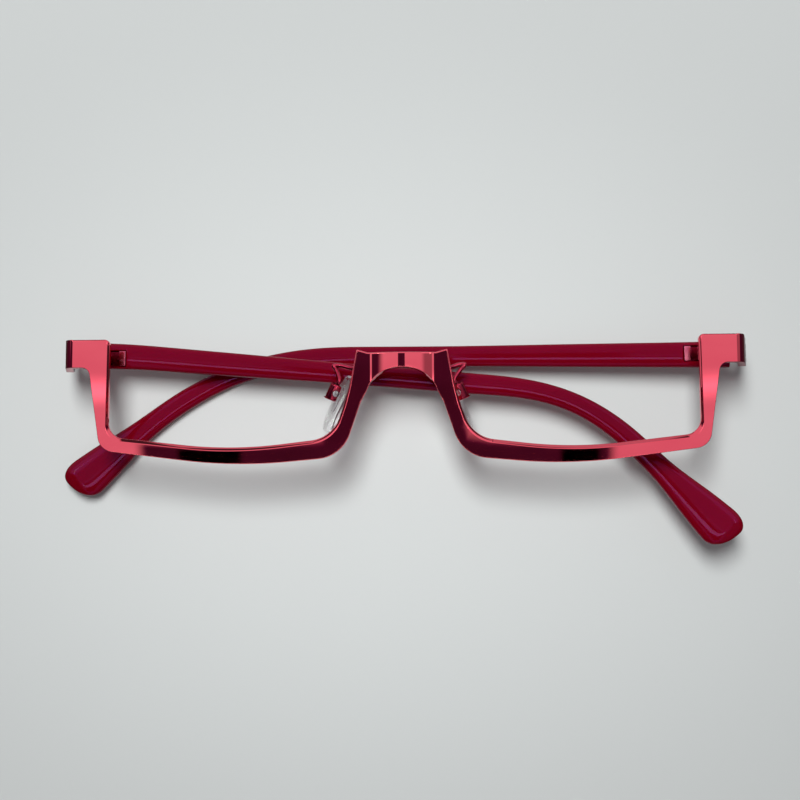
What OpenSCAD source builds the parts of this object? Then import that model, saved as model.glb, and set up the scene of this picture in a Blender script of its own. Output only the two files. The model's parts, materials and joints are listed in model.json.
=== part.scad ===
// Costume glasses: a red metal under-rim front with no lenses, folded plastic temples
// and clear nose pads. They lie on the folded temples with the front facing up.
// X runs across the front, Y from the rims up to the bridge, Z up from the table.

/* [Front] */
// Width of the flat front between its two end bends
front_w = 135; // [130:0.5:140]
// Height of each end-piece
end_h = 5.8; // [4.8:0.1:6.5]
// Gap between the two lens openings at the top
bridge_w = 18.5; // [17:0.5:20]
// Width of each lens opening at the top
lens_w = 50.8; // [49:0.2:52]
// Depth of each lens opening below the top of the front
lens_h = 22.3; // [20:0.5:26]
// Width of the rim below each lens opening
rim_w = 3.4; // [2.6:0.1:4.2]
// Width of the rim at the outer side of each lens opening
side_w = 3.1; // [2.6:0.1:3.8]
// Thickness of the metal
front_t = 1.6; // [1.2:0.1:2]
// Width of the chamfer round the lower part of each lens opening
chamfer_w = 0.75; // [0.4:0.1:1.2]
// Width of the chamfer along the pillars beside the nose
pillar_chamfer_w = 0.3; // [0.15:0.05:0.5]

/* [Bridge] */
// Half width of the bulged middle of the bridge
bulge_half_w = 6.2; // [5.5:0.1:6.6]
// How far the middle of the bridge bulges forward
bulge_h = 0.8; // [0.2:0.1:1.2]
// How far the top of the bridge lies below the end-pieces
bridge_drop = 3.2; // [2.6:0.1:3.8]
// Height of the bridge at its middle
bridge_h = 3.05; // [2.4:0.05:4]

/* [Hinges] */
// Outer radius of the bend at each end of the front
bend_r = 2; // [1.8:0.1:2.4]
// Angle that each end of the front turns through
bend_angle = 75; // [60:1:80]
// Straight length behind each bend
flange_l = 6.4; // [5.8:0.1:7.5]
// Outer diameter of the hinge knuckles
knuckle_d = 2.4; // [2.2:0.1:2.8]
// Height of each knuckle on the front
front_knuckle_h = 1; // [0.8:0.05:1.3]
// Height of the knuckle on the temple
temple_knuckle_h = 1.7; // [1.4:0.1:2]
// Diameter of the hinge screw
screw_d = 1.1; // [0.9:0.05:1.2]
// How far the screw stands out below the hinge
screw_proud = 0.75; // [0.3:0.05:1]
// Thickness of the hinge leaves
leaf_t = 0.6; // [0.5:0.05:0.8]
// Length of the leaf in the temple
leaf_l = 11.8; // [9:0.2:16]
// Radial clearance of the screw in the knuckles
hinge_clear = 0.05; // [0.02:0.01:0.08]

/* [Temples] */
// Length of a temple along its middle line
temple_l = 149.5; // [146:0.5:156]
// Height of a temple at its hinge
temple_h = 5.6; // [5.4:0.1:6.4]
// Height of a temple at its slimmest
waist_h = 4.1; // [3.4:0.1:4.6]
// Width of the paddle at the tip
paddle_w = 9.6; // [7:0.1:10]
// Thickness of a temple at its hinge
temple_t = 2.8; // [2.6:0.1:3.2]
// Thickness of a temple at its slimmest
waist_t = 2.4; // [2:0.1:2.6]
// Thickness of the paddle
paddle_t = 3; // [2.6:0.1:3.4]
// Angle that a temple turns down through behind the ear
hook_angle = 41; // [36:1:46]
// How far the tip turns inwards
tip_in = 3; // [0:0.5:5]
// Where the left temple starts to turn down
left_hook_start = 87.5; // [84:0.5:93]
// Length of the left temple's turn
left_hook_l = 40; // [34:1:46]
// Slope of the left temple's straight part
left_droop = 5; // [4:0.1:6]
// Where the right temple starts to turn down
right_hook_start = 78; // [74:0.5:84]
// Length of the right temple's turn
right_hook_l = 58; // [50:1:64]
// Slope of the right temple's straight part
right_droop = -0.6; // [-1:0.1:0.8]
// Angle by which the folded left temple leans away from the front
left_lean = 0.3; // [0:0.1:0.5]
// Angle by which the folded right temple leans away, to pass behind the left one
right_lean = 3; // [2.4:0.1:5]

/* [Nose pads] */
// Length of a pad
pad_l = 12.6; // [11:0.2:14]
// Width of a pad
pad_w = 5.6; // [4.8:0.2:6]
// Thickness of a pad
pad_t = 1.9; // [1.6:0.1:2.4]
// Diameter of the pad arm's wire
wire_d = 0.95; // [0.8:0.05:1.1]
// Length of the box that holds the pad
box_l = 3.4; // [3:0.1:4]
// Width of the box across its two walls
box_w = 2.7; // [2.5:0.1:3]
// Diameter of the pad screw
pad_screw_d = 0.8; // [0.6:0.05:0.9]
// How far the right pad's arm is bent in towards the nose
right_pad_in = 2.3; // [0:0.1:2.6]

/* [Hidden] */
$fn = 32;
eps = 0.02;
metal_red = [0.80, 0.16, 0.24];
plastic_red = [0.52, 0.02, 0.10];
clear_tint = [0.88, 0.88, 0.90, 0.45];
steel = [0.70, 0.70, 0.72];

// Small helpers
function unit(v) = v / norm(v);
function smooth(t) = let (c = min(1, max(0, t))) c * c * (3 - 2 * c);
function arc_turn(a) = a > 180 ? a - 360 : a < -180 ? a + 360 : a;

// Points along the arc that rounds the corner v between p and q with radius r
function corner(p, v, q, r, n) =
    let (
        u = unit(p - v),
        w = unit(q - v),
        half = acos(u * w) / 2,
        reach = 0.49 * min(norm(p - v), norm(q - v)),
        rr = min(r, reach * tan(half)),
        centre = v + unit(u + w) * rr / sin(half),
        s = v + u * rr / tan(half) - centre,
        e = v + w * rr / tan(half) - centre,
        start = atan2(s[1], s[0]),
        turn = arc_turn(atan2(e[1], e[0]) - start)
    )
    [for (k = [0 : n]) centre + rr * [cos(start + turn * k / n), sin(start + turn * k / n)]];

// A value read smoothly between the rows [place, value] of a short list
function slope_at(rows, i) =
    let (a = max(0, i - 1), b = min(len(rows) - 1, i + 1))
    (rows[b][1] - rows[a][1]) / (rows[b][0] - rows[a][0]);
function along(rows, s, i = 0) =
    i < len(rows) - 2 && s > rows[i + 1][0] ? along(rows, s, i + 1) :
    let (
        gap = rows[i + 1][0] - rows[i][0],
        t = min(1, max(0, (s - rows[i][0]) / gap)),
        fall = (1 + 2 * t) * (1 - t) * (1 - t)
    )
    rows[i][1] * fall + rows[i + 1][1] * (1 - fall)
    + gap * t * (1 - t) * (slope_at(rows, i) * (1 - t) - slope_at(rows, i + 1) * t);

// Triangles that join rings of n points, with both ends closed
function ring_faces(rings, n) = [
    for (i = [0 : rings - 2])
        for (j = [0 : n - 1])
            each [
                [i * n + j, i * n + (j + 1) % n, (i + 1) * n + (j + 1) % n],
                [i * n + j, (i + 1) * n + (j + 1) % n, (i + 1) * n + j]
            ],
    for (j = [1 : n - 2]) [0, j + 1, j],
    for (j = [1 : n - 2]) (rings - 1) * n * [1, 1, 1] + [0, j, j + 1]
];

// Front outline
// Each row is a corner on the lens side, a corner on the outer side and their radii,
// followed by the chamfer on the lens side. The rows run from the end-piece to the bridge.
nose_x = bridge_w / 2;
lens_x = nose_x + lens_w;
bend_x = front_w / 2;
belly = 0.6;
belly_r = 131;
rim_belly_r = 133;
inner_corner_r = 7;
rim_inner_corner_r = 7.5;
outer_corner_r = 3.4;
pillar_r = 50;
pillar_end_r = 3;
pillar_foot = 2.95;
pillar_fall = 2.1;
belly_x = nose_x + lens_w / 2;
corner_rise = 1.8;
pillar_lean = 4.95;
pillar_bow = 1.65;
pillar_mid_y = -lens_h / 2;
horn_y = -bridge_drop + 0.65;
arch_half_w = 6.9;
arch_h = 4.8;
arch_y = -bridge_drop - bridge_h;
edge_r = 0.2;
corner_steps = 7;
front_corners = [
    [[lens_x, 0], 1, [lens_x + side_w + 1.1, -end_h], 2.4, 0.3],
    [
        [lens_x + 0.15, 2.3 - lens_h], outer_corner_r,
        [lens_x + side_w - 1.4, 2.9 - lens_h - rim_w], outer_corner_r, chamfer_w
    ],
    [[belly_x, -lens_h - belly], belly_r, [belly_x - 0.6, -lens_h - belly - rim_w], rim_belly_r, chamfer_w],
    [
        [nose_x + pillar_lean, corner_rise - lens_h], inner_corner_r,
        [nose_x + pillar_foot, 1.3 - lens_h - rim_w], rim_inner_corner_r, chamfer_w * 0.8
    ],
    [
        [nose_x + pillar_bow, pillar_mid_y], pillar_r,
        [nose_x - 0.85, pillar_mid_y - pillar_fall], pillar_end_r, pillar_chamfer_w
    ],
    [[nose_x, horn_y], 0.25, [nose_x - 1.95, pillar_mid_y - 0.1], pillar_end_r, edge_r],
    [[bulge_half_w + 0.8, -bridge_drop], 3, [bulge_half_w + 0.55, pillar_mid_y + 1.2], 2, edge_r]
];
function arch(x) = arch_y - arch_h * (1 - sqrt(max(0, 1 - pow(x / arch_half_w, 2))));
crease_pair = [[bulge_half_w, -bridge_drop], [bulge_half_w, arch(bulge_half_w)]];
end_pair = [[bend_x, 0], [bend_x, -end_h]];
function lens_corner(i) = i < 0 ? end_pair[0] : i >= len(front_corners) ? crease_pair[0] : front_corners[i][0];
function rim_corner(i) = i < 0 ? end_pair[1] : i >= len(front_corners) ? crease_pair[1] : front_corners[i][2];
function chamfer_at(i) = i < 0 || i >= len(front_corners) ? edge_r : front_corners[i][4];

// Stations [lens side point, outer side point, chamfer] over one half of the front.
// The first number of a point is its distance across the front, measured along the metal.
bend_l = bend_r * bend_angle * PI / 180;
flange_end_s = bend_x + bend_l + flange_l;
bend_steps = 8;
bridge_steps = 8;
half_stations = [
    [[flange_end_s, 0], [flange_end_s, -end_h], edge_r],
    for (k = [bend_steps : -1 : 0])
        let (s = bend_x + bend_l * k / bend_steps) [[s, 0], [s, -end_h], edge_r],
    for (i = [0 : len(front_corners) - 1])
        let (
            row = front_corners[i],
            inner = corner(lens_corner(i - 1), row[0], lens_corner(i + 1), row[1], corner_steps),
            outer = corner(rim_corner(i - 1), row[2], rim_corner(i + 1), row[3], corner_steps)
        )
        for (k = [0 : corner_steps])
            let (
                t = k / corner_steps,
                before = (chamfer_at(i - 1) + row[4]) / 2,
                after = (chamfer_at(i + 1) + row[4]) / 2
            )
            [
                inner[k], outer[k],
                t < 0.5 ? before + (row[4] - before) * 2 * t : row[4] + (after - row[4]) * (2 * t - 1)
            ],
    for (k = [0 : bridge_steps - 1])
        let (x = bulge_half_w * (1 - k / bridge_steps)) [[x, -bridge_drop], [x, arch(x)], edge_r]
];

// A point of the metal: place s across the front, height y and depth d behind the face
function bulge(s) = abs(s) < bulge_half_w ? bulge_h * (1 - pow(s / bulge_half_w, 2)) : 0;
function bulge_slope(s) = abs(s) < bulge_half_w ? -2 * bulge_h * s / pow(bulge_half_w, 2) : 0;
function metal_point(s, y, d) =
    s <= bend_x ?
        let (m = unit([-bulge_slope(s), 1])) [s - d * m[0], y, bulge(s) - d * m[1]] :
    let (
        turn = min(bend_angle, (s - bend_x) / bend_r * 180 / PI),
        past = max(0, s - bend_x - bend_l),
        r = bend_r - d
    )
    [bend_x + r * sin(turn) + past * cos(turn), y, r * cos(turn) - bend_r - past * sin(turn)];
function front_section(st) =
    let (a = st[0], b = st[1], c = st[2], u = unit(b - a))
    [
        metal_point(a[0] + c * u[0], a[1] + c * u[1], 0),
        metal_point(a[0], a[1], c),
        metal_point(a[0], a[1], front_t),
        metal_point(b[0], b[1], front_t),
        metal_point(b[0], b[1], edge_r),
        metal_point(b[0] - edge_r * u[0], b[1] - edge_r * u[1], 0)
    ];
function flip_x(p) = [-p[0], p[1], p[2]];
half_rings = [for (st = half_stations) front_section(st)];
mid_ring = front_section([[0, -bridge_drop], [0, arch(0)], edge_r]);
front_rings = [
    for (ring = half_rings) [for (p = ring) flip_x(p)],
    mid_ring,
    for (i = [len(half_rings) - 1 : -1 : 0]) half_rings[i]
];

// Hinge place, worked out from the end of the flange
knuckle_r = knuckle_d / 2;
knuckle_gap = 0.15;
leaf_gap = 0.05;
hinge_y = -end_h / 2;
flange_end = metal_point(flange_end_s, 0, 0);
hinge_along = knuckle_r + knuckle_gap;
hinge_x = flange_end[0] + hinge_along * cos(bend_angle) - knuckle_r * sin(bend_angle);
hinge_z = flange_end[2] - hinge_along * sin(bend_angle) - knuckle_r * cos(bend_angle);
stack_h = temple_knuckle_h + 2 * (leaf_gap + front_knuckle_h);
bore_r = screw_d / 2 + hinge_clear;
head_h = 0.6;
head_r = 0.95;
slot_w = 0.25;
slot_depth = 0.25;
leaf_turn_room = 0.25;
front_leaf_l = 4;

// Temple shape. Places along a temple are measured from its hinge axis.
temple_start = 2.3;
tip_r = 4.6;
tip_blunt = 2.1;
tip_shift = 2;
hook_from = 94;
outer_reach = knuckle_r;
temple_steps = 54;
tip_steps = 6;
side_points = 20;
roundness = 0.72;
left_rise = 0.7;
right_rise = -0.2;
droop_l = 20;
near_taper_at = 32;
mid_taper_at = 60;
far_taper_at = 85;
waist_at = 103;
thin_to = 110;
flare_at = 118;
widening_at = 130;
thick_at = 138;
paddle_at = 141;
height_rows = [
    [0, temple_h],
    [near_taper_at, waist_h + 0.6 * (temple_h - waist_h)],
    [mid_taper_at, waist_h + 0.2 * (temple_h - waist_h)],
    [far_taper_at, waist_h + 0.2 * (temple_h - waist_h)],
    [waist_at, waist_h],
    [flare_at, waist_h + 0.06 * (paddle_w - waist_h)],
    [widening_at, waist_h + 0.17 * (paddle_w - waist_h)],
    [paddle_at, waist_h + 0.7 * (paddle_w - waist_h)],
    [temple_l, paddle_w]
];
thickness_rows = [
    [0, temple_t], [mid_taper_at, waist_t], [thin_to, waist_t], [thick_at, paddle_t], [temple_l, paddle_t]
];
body_l = temple_l - temple_start - tip_r;
step_l = concat(
    [for (k = [1 : temple_steps]) body_l / temple_steps],
    [for (k = [1 : tip_steps]) tip_r * (sin(90 * k / tip_steps) - sin(90 * (k - 1) / tip_steps))]
);
function slope(s, droop, from, turn_l) =
    droop * smooth(s / droop_l) + hook_angle * smooth((s - from) / turn_l);
function tip_scale(s) =
    let (t = min(1, max(0, (s - temple_l + tip_r) / tip_r))) max(0.2, pow(1 - pow(t, tip_blunt), 1 / tip_blunt));
function inward(s) = tip_in * pow(max(0, s - hook_from) / (temple_l - hook_from), 2);
// Rows [place, distance out, height] of the middle line
function middle_line(rise, droop, from, turn_l) = [
    for (
        k = 0, s = temple_start, x = temple_start, y = rise;
        k <= len(step_l);
        a = slope(s + step_l[min(k, len(step_l) - 1)] / 2, droop, from, turn_l),
        x = x + (k < len(step_l) ? step_l[k] * cos(a) : 0),
        y = y - (k < len(step_l) ? step_l[k] * sin(a) : 0),
        s = s + (k < len(step_l) ? step_l[k] : 0),
        k = k + 1
    )
    [s, x, y]
];
function rounded(c) = sign(c) * pow(abs(c), roundness);
function temple_section(row, droop, from, turn_l) =
    let (
        s = row[0],
        a = slope(s, droop, from, turn_l),
        grow = tip_scale(s),
        h = along(height_rows, s) * grow / 2,
        up = tip_shift * (1 - grow),
        w = along(thickness_rows, s) * min(1, 0.25 + grow) / 2,
        n0 = along(thickness_rows, s) / 2 - outer_reach + inward(s)
    )
    [
        for (j = [0 : side_points - 1])
            let (q = -360 * (j + 0.5) / side_points, v = up + h * rounded(cos(q)))
            [row[1] + v * sin(a), row[2] + v * cos(a), n0 + w * rounded(sin(q))]
    ];
function temple_rings(rise, droop, from, turn_l) = [
    for (row = middle_line(rise, droop, from, turn_l)) temple_section(row, droop, from, turn_l)
];
left_rings = temple_rings(left_rise, left_droop, left_hook_start, left_hook_l);
right_rings = temple_rings(right_rise, right_droop, right_hook_start, right_hook_l);

// Pocket of the temple for its hinge leaf
pocket_h = 3.4;
pocket_floor = 0;
bar_l = 1.4;
bar_gap = 0.15;

// Where the glasses lie: the lowest point on the table, the outline centred on the origin
function placed(p, lean) = [p[0] * cos(lean) + p[2] * sin(lean), p[1], p[2] * cos(lean) - p[0] * sin(lean)];
left_points = [for (ring = left_rings) for (p = ring) placed(p, left_lean)];
right_points = [for (ring = right_rings) for (p = ring) placed(p, right_lean)];
low_y = hinge_y + min([for (p = left_points) p[1]]);
high_y = max(0, hinge_y + max([for (p = left_points) p[1]]));
low_z = hinge_z + min([for (p = right_points) p[2]]);
knuckle_x = hinge_x + knuckle_r;
low_x = min(-knuckle_x, hinge_x - max([for (p = right_points) p[0]]));
lift = [-(low_x + knuckle_x) / 2, -(low_y + high_y) / 2, -low_z];

// Nose pads, placed on the left side
pad_out = 13.1;
pad_down = 13.3;
pad_behind = 5;
pad_at = [-pad_out, -pad_down, -pad_behind];
pad_splay = 67;
pad_pitch = 10;
pad_tilt = 26;
pad_taper = 0.14;
pad_points = 28;
screw_up = 1.9;
screw_out = 2.15;
box_r = box_w / 2;
box_near = 1.3;
tab_t = 0.9;
tab_clear = 0.08;
tab_r = 0.95;
tab_room = 0.15;
core_t = 0.5;
core_l = 6;
core_w = 2.6;
pad_head_r = 0.62;
pad_head_h = 0.35;
pad_slot_depth = 0.15;
pad_screw_clear = 0.05;
wire_sides = 10;
wire_steps = 5;
wire_lead = 1;
// A point given on the left pad: across it, along it and out of its back
function turned_x(p, a) = [p[0], p[1] * cos(a) - p[2] * sin(a), p[1] * sin(a) + p[2] * cos(a)];
function turned_y(p, a) = [p[0] * cos(a) + p[2] * sin(a), p[1], p[2] * cos(a) - p[0] * sin(a)];
function turned_z(p, a) = [p[0] * cos(a) - p[1] * sin(a), p[0] * sin(a) + p[1] * cos(a), p[2]];
function on_pad(p) = pad_at + turned_z(turned_x(turned_y(p, -pad_splay), pad_pitch), -pad_tilt);
// Rows of the arm's route: a point on the left arm and its share of the bend towards the nose
wire_route = [
    [[-8.8, -6.3, -front_t - eps], 0],
    [[-8.9, -6.3, -2.5], 0],
    [[-10.6, -6, -3.5], 0.25],
    [[-12.8, -5.4, -4.1], 0.5],
    [[-14.2, -5.4, -4.3], 0.6],
    [[-13.6, -6.5, -4.2], 0.75],
    [on_pad([0, screw_up + box_l / 2 + wire_lead, screw_out]), 1],
    [on_pad([0, screw_up + box_l / 2 + eps, screw_out]), 1]
];

function bent_in(side, share) = [side == "right" ? right_pad_in * share : 0, 0, 0];
module in_row() translate(lift) children();
module both(side) mirror([side == "left" ? 1 : 0, 0, 0]) children();
module flange_place() translate([flange_end[0], hinge_y, flange_end[2]]) rotate([0, bend_angle, 0]) children();
module upright(h, r) rotate([-90, 0, 0]) cylinder(h = h, r = r, center = true);
module temple_place(side)
    mirror([side == "left" ? 0 : 1, 0, 0])
        translate([-hinge_x, hinge_y, hinge_z])
            rotate([0, side == "left" ? left_lean : right_lean, 0])
                children();
module pad_place(side)
    mirror([side == "left" ? 0 : 1, 0, 0])
        translate(pad_at + bent_in(side, 1))
            rotate([0, 0, -pad_tilt]) rotate([pad_pitch, 0, 0]) rotate([0, -pad_splay, 0])
                children();

// The whole front: flanges, end-pieces, rims, pillars and bridge in one sweep
module front_frame()
    color(metal_red) in_row()
        polyhedron(points = [for (ring = front_rings) each ring], faces = ring_faces(len(front_rings), 6));

// Leaf inside the flange, with the two outer knuckles of the hinge
module front_leaf(side) {
    z = -front_t - eps - leaf_t / 2;
    arm_l = front_leaf_l + hinge_along;
    plate_l = arm_l - knuckle_r - leaf_turn_room;
    color(metal_red) in_row() both(side) flange_place() difference() {
        union() {
            translate([plate_l / 2 - front_leaf_l, 0, z]) cube([plate_l, stack_h, leaf_t], center = true);
            for (up = [-1, 1])
                translate([0, up * (stack_h - front_knuckle_h) / 2, 0]) {
                    translate([arm_l / 2 - front_leaf_l, 0, z]) cube([arm_l, front_knuckle_h, leaf_t], center = true);
                    translate([hinge_along, 0, -knuckle_r]) upright(front_knuckle_h, knuckle_r);
                }
        }
        translate([hinge_along, 0, -knuckle_r]) upright(stack_h * 2, bore_r);
    }
}

// Screw from the top of the hinge, with its end standing out below
module hinge_screw(side) {
    shaft_l = stack_h + screw_proud;
    color(steel) in_row() both(side) translate([hinge_x, hinge_y, hinge_z]) difference() {
        union() {
            translate([0, -screw_proud / 2 + eps, 0]) upright(shaft_l + 2 * eps, screw_d / 2);
            translate([0, stack_h / 2 + eps + head_h / 2, 0]) upright(head_h, head_r);
        }
        translate([0, stack_h / 2 + head_h, 0]) cube([2 * head_r + 1, 2 * slot_depth, slot_w], center = true);
    }
}

// Plastic temple with the pocket for its hinge leaf
module temple(side) {
    rings = side == "left" ? left_rings : right_rings;
    depth = temple_t;
    color(plastic_red) in_row() temple_place(side) difference() {
        polyhedron(points = [for (ring = rings) each ring], faces = ring_faces(len(rings), side_points));
        translate([0, -pocket_h / 2, pocket_floor]) cube([leaf_l, pocket_h, depth]);
    }
}

// Leaf in the temple's pocket, with the middle knuckle and a raised bar at its far end
module temple_leaf(side) {
    plate_h = pocket_h - 2 * bar_gap;
    plate_l = leaf_l - bar_gap - temple_start;
    bar_top = temple_t - outer_reach - pocket_floor - bar_gap;
    color(metal_red) in_row() temple_place(side) difference() {
        union() {
            upright(temple_knuckle_h, knuckle_r);
            translate([0, -temple_knuckle_h / 2, pocket_floor + eps]) cube([temple_start + 1, temple_knuckle_h, leaf_t]);
            translate([temple_start, -plate_h / 2, pocket_floor + eps]) cube([plate_l, plate_h, leaf_t]);
            translate([leaf_l - bar_gap - bar_l, -plate_h / 2, pocket_floor + eps]) cube([bar_l, plate_h, bar_top]);
        }
        upright(temple_knuckle_h * 2, bore_r);
    }
}

// Wire arm swept along its route from the back of the pillar to the pad box
function route_at(side, i) =
    let (row = wire_route[min(len(wire_route) - 1, max(0, i))])
    row[0] + bent_in(side, row[1]);
function route_point(side, i, t) =
    let (p0 = route_at(side, i - 1), p1 = route_at(side, i), p2 = route_at(side, i + 1), p3 = route_at(side, i + 2))
    0.5 * (2 * p1 + (p2 - p0) * t + (2 * p0 - 5 * p1 + 4 * p2 - p3) * t * t
    + (3 * p1 - p0 - 3 * p2 + p3) * t * t * t);
function wire_line(side) = [
    for (i = [0 : len(wire_route) - 2]) for (k = [0 : wire_steps - 1]) route_point(side, i, k / wire_steps),
    route_at(side, len(wire_route) - 1)
];
function heading(line, i) =
    i == 0 ? [0, 0, -1] :
    i == len(line) - 1 ? on_pad([0, 0, 0]) - on_pad([0, 1, 0]) :
    unit(line[i + 1] - line[i - 1]);
function carried(v, t) = unit(v - t * (v * t));
function wire_turns(line) = [
    for (i = 0, v = [0, 1, 0]; i < len(line); i = i + 1, v = i < len(line) ? carried(v, heading(line, i)) : v) v
];
module pad_arm(side) {
    line = wire_line(side);
    turns = wire_turns(line);
    rings = [
        for (i = [0 : len(line) - 1])
            let (v = turns[i], w = cross(heading(line, i), v))
            [for (j = [0 : wire_sides - 1])
                line[i] + wire_d / 2 * (v * cos(360 * j / wire_sides) - w * sin(360 * j / wire_sides))]
    ];
    color(metal_red) in_row() mirror([side == "left" ? 0 : 1, 0, 0])
        polyhedron(points = [for (ring = rings) each ring], faces = ring_faces(len(rings), wire_sides));
}

// Box with a rounded back, a slot for the pad's tab and a bore for the pad screw
module pad_box(side) {
    slot_l = tab_t + 2 * tab_clear;
    slot_out = screw_out + tab_r + tab_room;
    color(metal_red) in_row() pad_place(side) translate([0, screw_up, 0]) difference() {
        union() {
            translate([-box_r, -box_l / 2, box_near]) cube([box_w, box_l, screw_out - box_near]);
            translate([0, 0, screw_out]) upright(box_l, box_r);
        }
        translate([-slot_l / 2, -box_l, 0]) cube([slot_l, 2 * box_l, slot_out]);
        translate([-box_w, -box_l, 0]) cube([2 * box_w, 2 * box_l, box_near]);
        translate([0, 0, screw_out]) rotate([0, 90, 0])
            cylinder(h = 2 * box_w, r = pad_screw_d / 2 + eps, center = true);
    }
}

// Screw through the box and the pad's tab
module pad_screw(side) {
    shaft_l = box_w + eps;
    color(steel) in_row() pad_place(side) translate([0, screw_up, screw_out]) rotate([0, 90, 0]) difference() {
        union() {
            translate([0, 0, eps]) cylinder(h = shaft_l, r = pad_screw_d / 2, center = true);
            translate([0, 0, box_r + eps]) cylinder(h = pad_head_h, r = pad_head_r);
        }
        translate([0, 0, box_r + eps + pad_head_h]) cube([slot_w, 3 * pad_head_r, 2 * pad_slot_depth], center = true);
    }
}

// Clear core: a plate let into the pad's back and the tab that the screw holds
module pad_core(side) {
    back = pad_t / 2;
    color(clear_tint) in_row() pad_place(side) difference() {
        union() {
            core_plate(0, back - core_t);
            translate([-tab_t / 2, screw_up - tab_r, back - core_t])
                cube([tab_t, 2 * tab_r, screw_out - back + core_t]);
            translate([0, screw_up, screw_out]) rotate([0, 90, 0]) cylinder(h = tab_t, r = tab_r, center = true);
        }
        translate([0, screw_up, screw_out]) rotate([0, 90, 0])
            cylinder(h = 2 * tab_t, r = pad_screw_d / 2 + pad_screw_clear, center = true);
    }
}
module core_plate(grow, from, t = core_t) {
    span = core_l - core_w;
    translate([0, screw_up / 2, from]) {
        translate([-core_w / 2 - grow, -span / 2, 0]) cube([core_w + 2 * grow, span, t]);
        for (up = [-1, 1]) translate([0, up * span / 2, 0]) cylinder(h = t, r = core_w / 2 + grow);
    }
}

// Clear pad, narrower at the top, with a domed face towards the nose
pad_levels = [[0.5, 0.9], [0.42, 0.97], [0.2, 1], [-0.1, 1], [-0.3, 0.93], [-0.43, 0.76], [-0.5, 0.45]];
module nose_pad(side) {
    rings = [
        for (level = pad_levels)
            [for (j = [0 : pad_points - 1])
                let (q = 360 * j / pad_points, y = rounded(sin(q)))
                [
                    pad_w / 2 * level[1] * rounded(cos(q)) * (1 - pad_taper * y),
                    pad_l / 2 * y * (level[1] + (1 - level[1]) * 0.5),
                    pad_t * level[0]
                ]]
    ];
    color(clear_tint) in_row() pad_place(side) difference() {
        polyhedron(points = [for (ring = rings) each ring], faces = ring_faces(len(rings), pad_points));
        core_plate(eps, pad_t / 2 - core_t - eps, core_t + 1);
    }
}

front_frame();
front_leaf("left");  // left_front_leaf
front_leaf("right");  // right_front_leaf
hinge_screw("left");  // left_hinge_screw
hinge_screw("right");  // right_hinge_screw
temple("left");  // left_temple
temple("right");  // right_temple
temple_leaf("left");  // left_temple_leaf
temple_leaf("right");  // right_temple_leaf
pad_arm("left");  // left_pad_arm
pad_arm("right");  // right_pad_arm
pad_box("left");  // left_pad_box
pad_box("right");  // right_pad_box
pad_screw("left");  // left_pad_screw
pad_screw("right");  // right_pad_screw
pad_core("left");  // left_pad_core
pad_core("right");  // right_pad_core
nose_pad("left");  // left_nose_pad
nose_pad("right");  // right_nose_pad
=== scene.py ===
# %% [markdown]
# # A folded pair of red costume glasses
# The CAD frame is loaded first and stays where it is. Most of its solids then get a finer
# piece of the same shape, drawn from the same sizes, so that nothing is fitted by eye.

import json
import math

import bpy
import bmesh
from mathutils import Matrix, Vector

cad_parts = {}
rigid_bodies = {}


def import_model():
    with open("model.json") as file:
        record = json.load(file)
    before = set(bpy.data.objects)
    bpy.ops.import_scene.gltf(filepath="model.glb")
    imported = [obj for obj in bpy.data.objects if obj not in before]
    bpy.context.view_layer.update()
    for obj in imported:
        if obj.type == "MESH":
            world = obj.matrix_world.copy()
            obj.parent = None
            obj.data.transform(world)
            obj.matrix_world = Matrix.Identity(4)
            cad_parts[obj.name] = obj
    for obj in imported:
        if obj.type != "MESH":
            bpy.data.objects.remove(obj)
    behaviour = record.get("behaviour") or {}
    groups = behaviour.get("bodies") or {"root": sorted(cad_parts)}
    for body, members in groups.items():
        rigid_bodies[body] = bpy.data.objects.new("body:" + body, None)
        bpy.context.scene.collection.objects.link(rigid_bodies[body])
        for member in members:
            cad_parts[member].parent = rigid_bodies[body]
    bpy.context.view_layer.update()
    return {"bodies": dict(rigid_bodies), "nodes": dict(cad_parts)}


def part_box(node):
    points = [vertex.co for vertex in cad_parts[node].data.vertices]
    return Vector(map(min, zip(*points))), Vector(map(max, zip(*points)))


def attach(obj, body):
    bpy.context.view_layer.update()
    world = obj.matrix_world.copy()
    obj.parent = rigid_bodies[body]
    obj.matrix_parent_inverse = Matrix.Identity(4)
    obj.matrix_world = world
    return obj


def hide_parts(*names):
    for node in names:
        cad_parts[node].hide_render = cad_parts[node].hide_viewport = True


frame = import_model()

# %% [markdown]
# ## Where the front lies
# The pieces are drawn in millimetres. X is 0 in the middle of the front, Y is 0 on its top
# line, and Z is 0 on its flat face. The box of the front's solid says where that point is.

# %% Middle of the front in the frame
BRIDGE_BULGE = 0.8
low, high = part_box("front_frame")
ORIGIN = Vector(((low.x + high.x) / 2, high.y, high.z - BRIDGE_BULGE / 1000))
TO_FRAME = Matrix.Translation(ORIGIN) @ Matrix.Scale(0.001, 4)
print("middle of the front:", ORIGIN)

# %% [markdown]
# ## Drawing by extrusion
# By hand, a rim or a temple is drawn with E: the last edge or ring is extruded, moved into
# its next place, and extruded again. `draw` does the same with the operator. Each point
# keeps its number in a layer, so that it finds its place in the next row.

# %% Draw a row of points onward
def choose(obj):
    bpy.ops.object.select_all(action="DESELECT")
    obj.select_set(True)
    bpy.context.view_layer.objects.active = obj


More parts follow.
